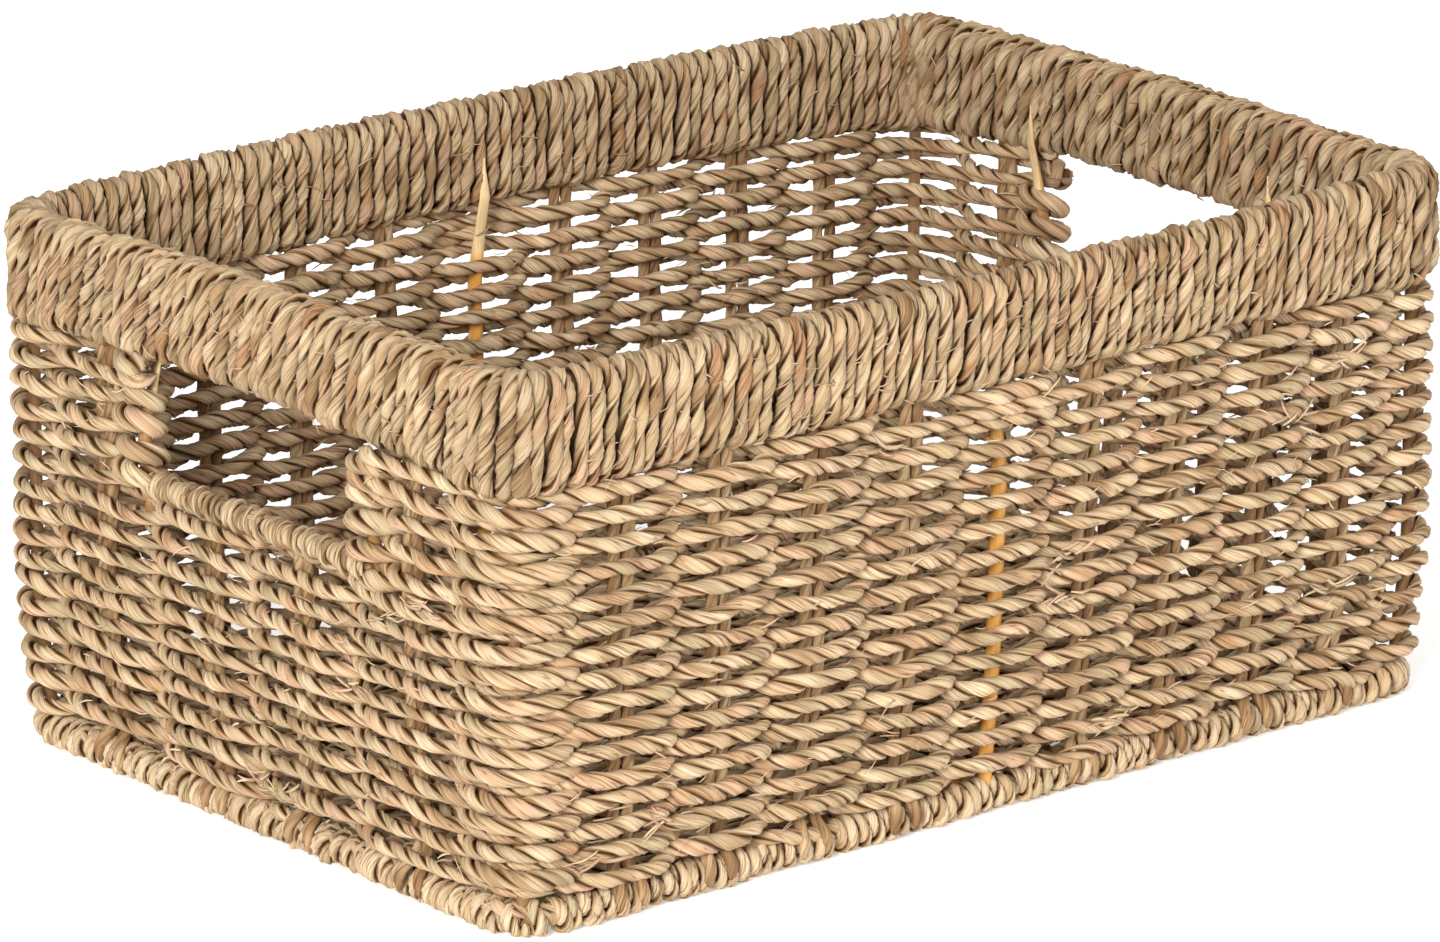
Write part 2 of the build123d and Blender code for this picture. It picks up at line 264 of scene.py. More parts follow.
# Strand meshes
class Weave:
    """Tubes gathered into one mesh, with fibre coordinates and colours."""

    def __init__(self):
        self.points, self.quads, self.caps, self.fibres, self.tints, self.folds = [], [], [], [], [], []
        self.count = 0

    def tube(self, rings, along, around, tints, folds=()):
        """A closed tube of rings of points, with its lengths along and around, colours and sharp folds."""
        n, m, _ = rings.shape
        index = np.arange(n * m).reshape(n, m) + self.count
        fold = np.full((n, m), -1)
        for line in folds:
            fold[:, line] = self.count + line
        self.folds.append(fold.ravel())
        ahead = np.roll(index, -1, axis=1)
        quads = np.stack([index[:-1], ahead[:-1], ahead[1:], index[1:]], -1).reshape(-1, 4)
        u = np.broadcast_to(along[:, None], (n, m))
        v = np.broadcast_to(around[:-1], (n, m))
        v_ahead = np.broadcast_to(around[1:], (n, m))
        corners = [(u[:-1], v[:-1]), (u[:-1], v_ahead[:-1]), (u[1:], v_ahead[1:]), (u[1:], v[1:])]
        fibres = np.stack([np.stack(c, -1) for c in corners], 2).reshape(-1, 2)
        self.points.append(rings.reshape(-1, 3))
        self.tints.append(tints.reshape(-1, 3))
        self.quads.append(quads)
        self.fibres.append(fibres)
        first = (index[0][::-1], along[0], around[:-1][::-1])
        last = (index[-1], along[-1], around[:-1])
        for ring, length, turn in (first, last):
            self.caps.append((ring, np.column_stack([np.full(m, length), turn])))
        self.count += n * m

    def mesh(self, name):
        """All the tubes as one Blender mesh in metres."""
        points = np.concatenate(self.points) * MM
        loops = np.concatenate([q.ravel() for q in self.quads] + [c for c, _ in self.caps])
        fibres = np.concatenate(self.fibres + [f for _, f in self.caps])
        quads = sum(len(q) for q in self.quads)
        sizes = np.array([4] * quads + [len(c) for c, _ in self.caps])
        starts = np.concatenate([[0], np.cumsum(sizes)[:-1]])
        mesh = bpy.data.meshes.new(name)
        mesh.vertices.add(len(points))
        mesh.vertices.foreach_set("co", points.ravel())
        mesh.loops.add(len(loops))
        mesh.loops.foreach_set("vertex_index", loops.astype(np.int32))
        mesh.polygons.add(len(sizes))
        mesh.polygons.foreach_set("loop_start", starts.astype(np.int32))
        mesh.update(calc_edges=True)
        mesh.polygons.foreach_set("use_smooth", np.ones(len(sizes), bool))
        ends = np.empty(len(mesh.edges) * 2, np.int32)
        mesh.edges.foreach_get("vertices", ends)
        folds = np.concatenate(self.folds)[ends.reshape(-1, 2)]
        sharp = (folds[:, 0] >= 0) & (folds[:, 0] == folds[:, 1])
        mesh.attributes.new("sharp_edge", "BOOLEAN", "EDGE").data.foreach_set("value", sharp)
        mesh.uv_layers.new(name="fibre").data.foreach_set("uv", fibres.astype(np.float32).ravel())
        tints = np.concatenate(self.tints)
        colours = mesh.color_attributes.new("tint", "FLOAT_COLOR", "POINT")
        opaque = np.column_stack([tints, np.ones(len(tints))]).astype(np.float32)
        colours.data.foreach_set("color", opaque.ravel())
        return mesh


def even(line, step):
    """A line resampled at even steps, and the length at each point."""
    lengths = np.concatenate([[0], np.cumsum(np.linalg.norm(np.diff(line, axis=0), axis=1))])
    s = np.linspace(0, lengths[-1], max(4, int(lengths[-1] / step)))
    return np.column_stack([np.interp(s, lengths, line[:, k]) for k in range(line.shape[1])]), s


def line_frame(line, side):
    """Side and face vectors of a line, with side as near as it can be to the one given."""
    forward = np.gradient(line, axis=0)
    forward /= np.linalg.norm(forward, axis=1, keepdims=True)
    side = np.broadcast_to(side, line.shape)
    side = side - forward * np.sum(side * forward, axis=1, keepdims=True)
    side /= np.linalg.norm(side, axis=1, keepdims=True)
    return side, np.cross(side, forward)


def section(centre, face, side, deep, wide):
    """Rings of points about a line: deep along its face and wide along its side."""
    return centre[:, None, :] + face[:, None, :] * deep[..., None] + side[:, None, :] * wide[..., None]


# A darker tone, such as the painted shade in folds and on buried sides, is a warmer one: its powers for red,
# green and blue
DARKEN = np.array([1.0, 1.30, 1.80])
# A ply's section and its distance from the cord's middle, as shares of the cord's thickness
PLY_HALF_DEEP = 0.255
PLY_HALF_WIDE = 0.375
PLY_OFFSET = 0.24
# How much the cord's thickness and each ply's size vary along it
CORD_DRIFT = 0.15
PLY_DRIFT = 0.14
# How far a leaf's folds sink and how much painted shade darkens them, and how light the painted shade leaves
# its buried side
FOLD_DEPTH = 0.09
FOLD_SHADE = 0.17
BURIED_SIDE_SHADE = 0.16
# Where a folded strand's section has its corners, with the last one buried in the middle of the cord
LEAF_ANGLES = np.radians([-148, -126, -101, -76, -52, -28, -4, 20, 44, 68, 92, 116, 140, 180])
LEAF_FACE = range(2, 11)


def leaf_rings(source, s, centre, face, side, girth, palette, step):
    """One of a twisted cord's two strands: a fat oval of folded leaf, with painted shade in its folds and
    where it meets the other one.
    """
    angle = np.broadcast_to(LEAF_ANGLES, (len(s), len(LEAF_ANGLES))).copy()
    reach = np.ones_like(angle)
    tone = np.ones_like(angle)
    folds = sorted(source.choice(LEAF_FACE, 3, replace=False))
    for k in LEAF_FACE:
        angle[:, k] += 0.14 * drift(source, s, 11.0)
        ridge = drift(source, s, 8.0)
        reach[:, k] += 0.06 * ridge - (FOLD_DEPTH + 0.08 * drift(source, s, 12.0) if k in folds else 0)
        # Painted light and shade: a ridge that stands out is painted lighter, a fold darker
        tone[:, k] += 0.08 * ridge - (FOLD_SHADE + 0.15 * drift(source, s, 15.0) if k in folds else 0)
    flat = np.cos(angle)
    flat = np.sign(flat) * np.abs(flat) ** 1.15
    deep = (PLY_HALF_DEEP * flat * reach + PLY_OFFSET) * girth[:, None]
    rings = section(centre, face, side, deep, np.sin(angle) * reach * PLY_HALF_WIDE * girth[:, None])
    # Painted shade on the buried side, where this strand meets the other one
    tone *= BURIED_SIDE_SHADE + (1 - BURIED_SIDE_SHADE) * smooth(np.cos(angle), -0.66, -0.20)
    tints = strand_colours(source, s, step, palette)[:, None, :] * tone[..., None] ** DARKEN
    around = np.append(LEAF_ANGLES - LEAF_ANGLES[0], 2 * math.pi) * girth.mean() * 0.36
    return rings, around + source.uniform(0, 50), tints, folds


def blade_rings(source, s, centre, face, side, half_deep, half_wide, count, folds, wind, palette, step):
    """A round strand of folded blades that wind about it: ring points, the way round and colours."""
    base = 2 * math.pi * np.arange(count) / count
    drifts = 0.32 * drift(source, s, 22.0) + wind * 2 * math.pi * (s - s[0])
    angle = base[None, :] + drifts[:, None]
    ridge = np.stack([drift(source, s, 9.0) for _ in range(count)], 1)
    reach = 1 + 0.07 * ridge
    reach[:, folds] -= 0.09 + 0.07 * np.stack([drift(source, s, 14.0) for _ in folds], 1)
    deep, wide = np.cos(angle) * reach * half_deep[:, None], np.sin(angle) * reach * half_wide[:, None]
    rings = section(centre, face, side, deep, wide)
    # Painted light and shade: a ridge that stands out is painted lighter, a fold darker
    tone = 1 + 0.09 * ridge
    tone[:, folds] *= 0.72
    tints = strand_colours(source, s, step, palette)[:, None, :] * tone[..., None] ** DARKEN
    girth = 2 * math.pi * math.sqrt((half_deep.mean() ** 2 + half_wide.mean() ** 2) / 2)
    return rings, np.linspace(0, girth, count + 1) + source.uniform(0, 50), tints


def end_taper(s, length, least):
    """Shrinks a strand towards both of its ends."""
    near_end = np.minimum(s - s[0], s[-1] - s)
    return least + (1 - least) * np.sqrt(np.clip(near_end / length, 0, 1))


def two_ply(
    weave, source, line, side, thick, half_lay, palette, step=1.2, swell=None, uneven=0.32, squeeze=0.3
):
    """Two flat strands laid round each other in a right-handed twist, swelled where swell says."""
    swell = np.ones(len(line)) if swell is None else swell
    both, s = even(np.column_stack([line, np.broadcast_to(side, line.shape), swell]), step)
    line = both[:, :3]
    side, face = line_frame(line, both[:, 3:6])
    phase = np.cumsum(np.gradient(s) * math.pi / (half_lay * (1 + uneven * drift(source, s, 34.0))))
    phase += source.uniform(0, 6.28)
    girth = thick * (1 + CORD_DRIFT * drift(source, s, 22.0)) * end_taper(s, 4.0, 0.25) * both[:, 6]
    # Painted shade: a cord is painted up to 8 per cent darker where it swells open, at the near corner, the
    # rim's corners and the turns
    swell_shade = (1 - 0.5 * np.clip(both[:, 6] - 1, 0, 0.16))[:, None, None]
    for turn in (0, math.pi):
        angle = (phase + turn + 0.15 * drift(source, s, 9.0))[:, None]
        ply_face = np.cos(angle) * face + np.sin(angle) * side
        ply_side = -np.sin(angle) * face + np.cos(angle) * side
        size = girth * (1 + PLY_DRIFT * drift(source, s, 6.5))
        centre = line - side * np.sin(angle) * (PLY_OFFSET * squeeze * girth)[:, None]
        rings, around, tints, folds = leaf_rings(
            source, s, centre, ply_face, ply_side, size, palette, half_lay
        )
        weave.tube(rings, s + source.uniform(0, 500), around, tints * swell_shade, folds)


def one_ply(weave, source, line, side, deep, wide, palette, turns, step=1.2, count=15, taper=4.0):
    """One twisted strand along a line, deep across its face and wide along its side."""
    both, s = even(np.column_stack([line, np.broadcast_to(side, line.shape)]), step)
    line = both[:, :3]
    side, face = line_frame(line, both[:, 3:])
    size = (1 + 0.1 * drift(source, s, 12.0)) * end_taper(s, taper, 0.3)
    half_deep, half_wide = size * deep / 2, size * wide / 2 * (1 + 0.08 * drift(source, s, 7.0))
    folds = list(range(1, count, 3))
    rings, around, tints = blade_rings(
        source, s, line, face, side, half_deep, half_wide, count, folds, turns, palette, 14.0
    )
    weave.tube(rings, s + source.uniform(0, 500), around, tints, folds)


SLIVER_HALF_DEEP = 0.16


def sliver(weave, source, start, forward, outward, length, width, palette):
    """A loose split of leaf: a thin tapered blade that leaves the weave and curls."""
    n = 9
    t = np.linspace(0, 1, n)
    across = np.cross(forward, outward)
    curl = source.uniform(-0.5, 0.5)
    rise = source.uniform(0.05, 0.4)
    line = (
        start
        + np.outer(t * length, forward)
        + np.outer(length * (rise * t - 0.55 * rise * t**2), outward)
        + np.outer(length * curl * t**2, across)
    )
    side, face = line_frame(line, across)
    half = width / 2 * np.sqrt(np.clip(np.sin(math.pi * (0.12 + 0.86 * t)), 0.02, 1))
    angle = 2 * math.pi * np.arange(4) / 4
    deep, wide = np.outer(np.minimum(half, SLIVER_HALF_DEEP), np.cos(angle)), np.outer(half, np.sin(angle))
    rings = section(line, face, side, deep, wide)
    colour = palette[source.integers(3)][0] * source.uniform(0.75, 1.15)
    tints = np.broadcast_to(colour, rings.shape)
    weave.tube(rings, t * length, np.linspace(0, 2 * width, 5) + source.uniform(0, 50), tints)


# Materials
def nodes_of(name):
    """A new material with a plain shader, its node tree and that shader."""
    material = bpy.data.materials.new(name)
    material.use_nodes = True
    tree = material.node_tree
    tree.nodes.clear()
    output = tree.nodes.new("ShaderNodeOutputMaterial")
    shader = tree.nodes.new("ShaderNodeBsdfPrincipled")
    tree.links.new(shader.outputs["BSDF"], output.inputs["Surface"])
    return material, tree, shader


def feed(tree, sockets, values):
    """Sets each socket to a value, or links it to another node's output."""
    for socket, value in zip(sockets, values):
        if isinstance(value, (int, float, tuple)):
            socket.default_value = value
        else:
            tree.links.new(value, socket)


def maths(tree, operation, first, second):
    """A maths node's result for two numbers or sockets."""
    node = tree.nodes.new("ShaderNodeMath")
    node.operation = operation
    feed(tree, node.inputs, (first, second))
    return node.outputs[0]


def mix(tree, factor, first, second, blend="MIX"):
    """Two colours mixed by a factor."""
    node = tree.nodes.new("ShaderNodeMix")
    node.data_type = "RGBA"
    node.blend_type = blend
    feed(tree, (node.inputs[0], node.inputs[6], node.inputs[7]), (factor, first, second))
    return node.outputs[2]


def ramp(tree, value, low, high, from_low=0.0, from_high=1.0):
    """A value from one range taken to another, and held at its ends."""
    node = tree.nodes.new("ShaderNodeMapRange")
    tree.links.new(value, node.inputs[0])
    for k, number in enumerate((from_low, from_high, low, high)):
        node.inputs[k + 1].default_value = number
    return node.outputs[0]


def streaks(tree, vector, along, around, detail=3.0):
    """Noise stretched along the fibres: along and around are its scales per millimetre."""
    mapping = tree.nodes.new("ShaderNodeMapping")
    mapping.inputs["Scale"].default_value = (along, around, 1.0)
    tree.links.new(vector, mapping.inputs["Vector"])
    noise = tree.nodes.new("ShaderNodeTexNoise")
    noise.inputs["Scale"].default_value = 1.0
    noise.inputs["Detail"].default_value = detail
    noise.inputs["Roughness"].default_value = 0.6
    tree.links.new(mapping.outputs[0], noise.inputs["Vector"])
    return noise.outputs["Fac"]


def leaf_inputs(tree):
    """The fibre coordinates and the colours that every strand's mesh holds."""
    fibre = tree.nodes.new("ShaderNodeUVMap")
    fibre.uv_map = "fibre"
    tint = tree.nodes.new("ShaderNodeVertexColor")
    tint.layer_name = "tint"
    return fibre.outputs[0], tint.outputs[0]


def shaded(tree, colour, factor):
    """A colour times a grey factor."""
    grey = tree.nodes.new("ShaderNodeCombineColor")
    feed(tree, grey.inputs, [factor] * 3)
    return mix(tree, 1.0, colour, grey.outputs[0], "MULTIPLY")


def add_bump(tree, shader, height, strength, distance):
    """Relief from a height, over a distance in millimetres."""
    bump = tree.nodes.new("ShaderNodeBump")
    bump.inputs["Strength"].default_value = strength
    bump.inputs["Distance"].default_value = distance * MM
    tree.links.new(height, bump.inputs["Height"])
    tree.links.new(bump.outputs[0], shader.inputs["Normal"])


def grass_material(name):
    """Dried seagrass: long fine fibres with thin brown lines and flecks, and a dull waxy shine."""
    material, tree, shader = nodes_of(name)
    fibre, tint = leaf_inputs(tree)
    fine = streaks(tree, fibre, 0.10, 2.8)
    broad = streaks(tree, fibre, 0.045, 0.75)
    folds = streaks(tree, fibre, 0.040, 0.62, 1.0)
    flecks = streaks(tree, fibre, 0.35, 1.3, 2.0)
    fine_shade = ramp(tree, fine, -0.20, 0.16, 0.28, 0.72)
    broad_shade = ramp(tree, broad, -0.11, 0.10, 0.3, 0.7)
    factor = maths(tree, "ADD", maths(tree, "ADD", fine_shade, broad_shade), 1.0)
    colour = shaded(tree, tint, factor)
    from_fold = maths(tree, "ABSOLUTE", maths(tree, "SUBTRACT", folds, 0.5), 0.0)
    line = ramp(tree, from_fold, 0.80, 0.0, 0.006, 0.028)
    dark = mix(tree, 1.0, colour, (0.42, 0.30, 0.19, 1.0), "MULTIPLY")
    colour = mix(tree, line, colour, dark)
    fleck_share = ramp(tree, flecks, 0.0, 0.6, 0.66, 0.78)
    colour = mix(tree, fleck_share, colour, (0.20, 0.105, 0.045, 1.0))
    tree.links.new(colour, shader.inputs["Base Color"])
    tree.links.new(ramp(tree, fine, 0.88, 0.62, 0.3, 0.7), shader.inputs["Roughness"])
    shader.inputs["Specular IOR Level"].default_value = 0.28
    height = maths(tree, "ADD", maths(tree, "MULTIPLY", broad, 1.1), maths(tree, "MULTIPLY", fine, 0.8))
    height = maths(tree, "SUBTRACT", height, maths(tree, "MULTIPLY", line, 0.4))
    add_bump(tree, shader, height, 0.85, 0.35)
    return material


def rattan_material(name):
    """Peeled rattan: glossy orange yellow, or pale where it is shaved, with fine lengthwise grain."""
    material, tree, shader = nodes_of(name)
    fibre, tint = leaf_inputs(tree)
    grain = streaks(tree, fibre, 0.08, 2.4)
    patches = streaks(tree, fibre, 0.12, 0.2)
    grain_shade = ramp(tree, grain, 0.80, 1.12, 0.3, 0.7)
    light = maths(tree, "ADD", grain_shade, ramp(tree, patches, -0.12, 0.10, 0.35, 0.65))
    tree.links.new(shaded(tree, tint, light), shader.inputs["Base Color"])
    tree.links.new(ramp(tree, grain, 0.46, 0.30), shader.inputs["Roughness"])
    add_bump(tree, shader, grain, 0.4, 0.15)
    return material


GRASS = grass_material("seagrass")
RATTAN = rattan_material("rattan")


def add_object(name, data):
    """A new object in the scene."""
    thing = bpy.data.objects.new(name, data)
    bpy.context.scene.collection.objects.link(thing)
    return thing


def piece(weave, name, slot, *nodes, material=GRASS):
    """A weave as an object of its own, which stands in for the CAD nodes that are named."""
    thing = add_object(name, weave.mesh(name))
    thing.data.materials.append(material)
    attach(thing, "root")
    if nodes:
        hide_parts(*nodes)


# The weft
CORD_SIZE = 6.2
CORD_LAY = 10.8
COURSES_PER_PIECE = 2
# A course runs this far past its start, with its ends tucked in
LAP = 4.0
TUCK_LENGTH = 8.0
# How much a cord opens at the near corner and where it turns back, and thins on the short walls
CORNER_OPENING = 0.14
TURN_OPENING = 0.36
SHORT_THINNING = 0.09
CORNER_TUCK = 2.2
CORNER_PLACES = [WALL_START[wall] - HALF_ARC for wall in WALL_START]
# How far in, as a share of the swing, a course passes on the inner side of each corner post
INSIDE_CORNERS = dict(zip(CORNER_PLACES, (0.0, -0.6, -0.6, -0.6)))
# The low courses lie this much higher at the left end and lower at the right, and run out at the base
TILT = 6.0
TILT_LEVELS = (18.0, 92.0)
RUN_OUT_LEVEL = 12.6
RUN_OUT_RISE = 3.0
BACK_CROSSINGS = range(17, 24)
RIPPLE_HEIGHT = 1.25
CALM_LEVELS = (130.0, 142.0)
wall_noise = np.random.default_rng(21)
# Each ripple's period along the wall, its period up the wall and its phase
RIPPLE = [[wall_noise.uniform(*span) for span in ((18, 60), (12, 40), (0, 6.28))] for _ in range(8)]


def ripple(s, z):
    """Small shared unevenness of neighbouring courses."""
    total = 0
    for period, rise, phase in RIPPLE:
        total = total + np.sin(2 * math.pi * (s / period + z / rise) + phase)
    return total / len(RIPPLE)


def level(number, s):
    """A course's height: the lowest ones run down to the right, and all waver a little."""
    z = FIRST_LEVEL + number * COURSE_PITCH
    x = plan(s)[0][:, 0]
    low = 1 - smooth(z, *TILT_LEVELS)
    return z - TILT * low * x / HALF_X + RIPPLE_HEIGHT * ripple(s, z) * (1 - smooth(z, *CALM_LEVELS))


def crossing_out(number, k, stake):
    """Which side of an upright a course passes: 1 outside and -1 inside."""
    if stake and number >= COURSES - TOP_COURSES:
        return 1
    return 1 if (number + k) % 2 == 0 else -1


def course_out(number, s):
    """A course's distance out from the centre line, at lengths s that may pass the start again."""
    places, outs = [], []
    for lap in (-1, 0, 1, 2):
        for k, (at, stake) in enumerate(CROSSINGS):
            places.append(at + lap * PERIMETER)
            side = crossing_out(number, k, stake)
            outs.append(side if side > 0 else INSIDE_CORNERS.get(at, side))
    places, outs = np.array(places), np.array(outs)
    i = np.clip(np.searchsorted(places, s, side="right") - 1, 0, len(places) - 2)
    t = (s - places[i]) / (places[i + 1] - places[i])
    wave = np.clip(1.22 * np.cos(math.pi * t), -1, 1)
    wave = np.sin(wave * math.pi / 2)
    return SWING * (outs[i] * (1 + wave) / 2 + outs[i + 1] * (1 - wave) / 2)


def corner_swell(s, out):
    """A cord's relative size: more where it bends round the near corner, less on the short walls."""
    away = np.abs((s - CORNER_PLACES[0] + PERIMETER / 2) % PERIMETER - PERIMETER / 2)
    near = CORNER_OPENING * (1 - smooth(away, 5.0, 21.0)) * smooth(out, 0.0, SWING)
    return 1 + near - SHORT_THINNING * np.abs(plan(s)[1][:, 0])


def full_course(weave, number):
    """A course round all four walls, its ends tucked in at the back. A low one runs out at the base."""
    source = np.random.default_rng(100 + number)
    inside = [
        at
        for k, (at, stake) in enumerate(CROSSINGS)
        if k in BACK_CROSSINGS and crossing_out(number, k, stake) < 0
    ]
    start = source.choice(inside)
    s = np.arange(start - LAP, start + PERIMETER + LAP, 1.0)
    z = level(number, s)
    out = course_out(number, s) * (0.96 + 0.05 * drift(source, s, 30.0))
    buried = 1 - smooth(z, RUN_OUT_LEVEL - RUN_OUT_RISE, RUN_OUT_LEVEL)
    out = out * (1 - buried)
    z = z * (1 - buried) + (BASE_LEVEL + 2.0) * buried
    tucked = np.minimum(s - s[0], s[-1] - s) < TUCK_LENGTH
    out = np.where(tucked, out - 0.8, out) - CORNER_TUCK * (corner_swell(s, out) - 1)
    line = wall_point(s, out, z + 0.65 * drift(source, s, 14.0))
    shown = buried < 1
    for run in np.split(np.arange(len(s)), np.where(np.diff(shown.astype(int)) != 0)[0] + 1):
        if shown[run[0]] and len(run) > 12:
            swell = corner_swell(s[run], out[run])
            two_ply(weave, source, line[run], -UP, CORD_SIZE, CORD_LAY, BODY_COLOURS, swell=swell)


# Which way each long wall's upper weft runs: from a stake on one short wall to a stake on the other
UPPER_RUNS = {
    "front": (on_wall("left", HANDLE_STAKE) - PERIMETER, on_wall("right", -HANDLE_STAKE)),
    "back": (on_wall("right", HANDLE_STAKE), on_wall("left", -HANDLE_STAKE)),
}


def upper_course_out(number, s, start, end):
    """Distance out of a part course, which passes a pair of strands and a handle stake at each end."""
    out = course_out(number, s)
    gap = SHORT_PAIRS[-1] - HANDLE_STAKE
    for edge, facing in ((start, 1), (end, -1)):
        pair = edge + facing * gap
        at_pair = course_out(number, np.array([pair]))[0]
        at_stake = SWING if number >= COURSES - TOP_COURSES else -at_pair
        t = np.clip((s - edge) * facing / gap, 0, 1)
        near = (s - edge) * facing < gap
        wave = (1 + np.cos(math.pi * t)) / 2
        out = np.where(near, at_stake * wave + at_pair * (1 - wave), out)
    return out


def upper_weft(wall):
    """The upper courses of a long wall and the turns that join them, as stretches of one cord."""
    start, end = UPPER_RUNS[wall]
    s = np.arange(start, end + 0.5, 1.0)
    rows = []
    for number in range(FULL_COURSES, COURSES):
        row = np.column_stack([s, upper_course_out(number, s, start, end), level(number, s)])
        rows.append(row if (number - FULL_COURSES) % 2 == 0 else row[::-1])
    beta = np.linspace(0, math.pi, 16)[1:-1]
    joined = [rows[0]]
    for number, (before, after) in enumerate(zip(rows, rows[1:])):
        a, b = before[-1], after[0]
        onward = 1 if number % 2 == 0 else -1
        bulge = 1 - 0.5 * np.sin(beta) if a[1] * b[1] > 0 else np.cos(beta)
        turn_s = a[0] + onward * (SWING + 0.6) * np.sin(beta)
        turn_z = a[2] + (b[2] - a[2]) * (1 - np.cos(beta)) / 2
        joined += [np.column_stack([turn_s, a[1] * bulge, turn_z]), after]
    return joined


def full_weft():
    """The courses that go all the way round, in pairs."""
    for first in range(0, FULL_COURSES, COURSES_PER_PIECE):
        weave = Weave()
        numbers = range(first, first + COURSES_PER_PIECE)
        for number in numbers:
            full_course(weave, number)
        if first == 0:
            # Two more low courses, which show only where the weave rises at the left
            full_course(weave, -1)
            full_course(weave, -2)
        names = [f"weft_course_{n + 1:02d}" for n in numbers]
        piece(weave, f"weft_courses_{first + 1:02d}_{numbers[-1] + 1:02d}", "seagrass_cord", *names)


def part_weft():
    """The courses that turn back at the handle openings, in a lower and an upper half on each long wall."""
    upper_names = [f"weft_course_{n + 1:02d}" for n in range(FULL_COURSES, COURSES)]
    for wall in LONG_WALLS:
        joined = upper_weft(wall)
        half = len(joined) // 2
        for part, runs in (("lower", joined[:half]), ("upper", joined[half:])):
            course = np.concatenate(runs)
            weave = Weave()
            source = random_of(wall + part)
            start, end = UPPER_RUNS[wall]
            to_stake = np.minimum(np.abs(course[:, 0] - start), np.abs(course[:, 0] - end))
            swell = corner_swell(course[:, 0], course[:, 1])
            out = course[:, 1] - CORNER_TUCK * (swell - 1)
            swell += TURN_OPENING * (1 - smooth(to_stake, 4.0, 13.0))
            z = course[:, 2] + 0.5 * drift(source, np.arange(len(course)) * 1.0, 14.0)
            line = wall_point(course[:, 0], out, z)
            two_ply(weave, source, line, -UP, CORD_SIZE, CORD_LAY, BODY_COLOURS, swell=swell)
            piece(weave, f"weft_{wall}_{part}_turns", "seagrass_cord", *upper_names)


# The rim wrap
def rim_section(t, deep, low, high):
    """A turn round the rim's section, t from 0 to 1: up outside, over, down inside and under."""
    straight = (high - low) - 2 * deep
    cap = math.pi * deep
    d = t * (2 * straight + 2 * cap)
    over, under = (d - straight) / deep, (d - 2 * straight - cap) / deep
    legs = [d < straight, d < straight + cap, d < 2 * straight + cap]
    out = np.select(legs, [deep, deep * np.cos(over), -deep], -deep * np.cos(under))
    levels = [low + deep + d, high - deep + deep * np.sin(over), high - deep - (d - straight - cap)]
    return out, np.select(legs, levels, low + deep - deep * np.sin(under))


# The rim's cord: size, length of half a turn of its twist, and how far its middle lies inside the wrap
RIM_CORD = (6.2, 12.5)
RIM_INSET = 2.75
RIM_SWELL = 0.16
RIM_CROWDING = 0.5
# How much lower the top is in the middle of a wall, and the lower edge at its ends
RIM_TOP_DIP = 1.0
RIM_EDGE_DROP = 2.2
# Each wall's pitch of turns, and the share of it that a turn has gone on by the top of the outer face
RIM_TURNS = {"front": (5.4, 0.38), "right": (6.0, 0.6), "back": (5.4, 0.38), "left": (6.0, 0.75)}
STEPS_PER_TURN = 60


def corner_share(away):
    """1 at a corner and 0 on the straight, for a distance away from the corner's middle."""
    return 1 - smooth(np.abs(away), HALF_ARC * 0.6, HALF_ARC * 1.5)


def rim_wrap(wall, pitch, lean):
    """One wall's rim wrapping: a two-ply cord wound round and round the band."""
    source = random_of("rim" + wall)
    weave = Weave()
    corner = 2 * HALF_ARC
    start, length = WALL_START[wall] - corner, corner + 2 * WALL_HALF[wall]
    # Turns crowd at the corner, which lies in the middle of the first stretch
    position = np.linspace(0, 1, 400)
    density = 1 + RIM_CROWDING * corner_share(position * length - corner / 2)
    cumulative = np.concatenate([[0], np.cumsum((density[1:] + density[:-1]) / 2)])
    cumulative /= cumulative[-1]
    turns = int(round(length / pitch * 1.03)) + 1
    t = np.arange(turns * STEPS_PER_TURN) / STEPS_PER_TURN
    whole = np.floor(t).astype(int)
    part = t - whole
    uneven = np.arange(turns + 1) + source.uniform(-0.25, 0.25, turns + 1)
    places = np.interp(uneven / turns, cumulative, position) * length
    base_place, next_place = places[whole], places[whole + 1]
    share = np.interp(part, [0, 0.30, 0.5, 1.0], [0, lean, lean + (1 - lean) * 0.3, 1])
    place = base_place + (next_place - base_place) * share
    s = start + place
    wall_part = np.clip(place / length, 0, 1)
    middle = np.sin(math.pi * wall_part)
    high = HEIGHT - RIM_INSET - RIM_TOP_DIP * middle + 0.35 * drift(source, t, 3.0)
    low = RIM_LOW + RIM_INSET - RIM_EDGE_DROP * (1 - middle) ** 2 + 0.5 * drift(source, t, 1.7)
    deep = np.full_like(t, RIM_HALF - RIM_INSET) + 0.25 * drift(source, t, 1.3)
    out, z = rim_section(part, deep, low, high)
    line = wall_point(s, out, z)
    swell = 1 + RIM_SWELL * corner_share(place - corner / 2)
    two_ply(weave, source, line, along_wall(s), *RIM_CORD, RIM_COLOURS, 2.1, swell, 0.42, 0.55)
    piece(weave, f"rim_wrap_{wall}", "seagrass_wrap", "rim_wrap")


def rim():
    """The whole rim's wrapping, wall by wall."""
    for wall, (pitch, lean) in RIM_TURNS.items():
        rim_wrap(wall, pitch, lean)


# The base wrap, an under layer of flat strand and a cord over it: pitch, inset and whether it lies under
BASE_LAYERS = ((4.4, 3.3, True), (5.0, 1.8, False))
BASE_CORD = (5.6, 9.0)


def rest_on_ground(weave, least):
    """Lifts every point to a least height over the ground."""
    weave.points = [np.column_stack([p[:, :2], np.maximum(p[:, 2], least)]) for p in weave.points]


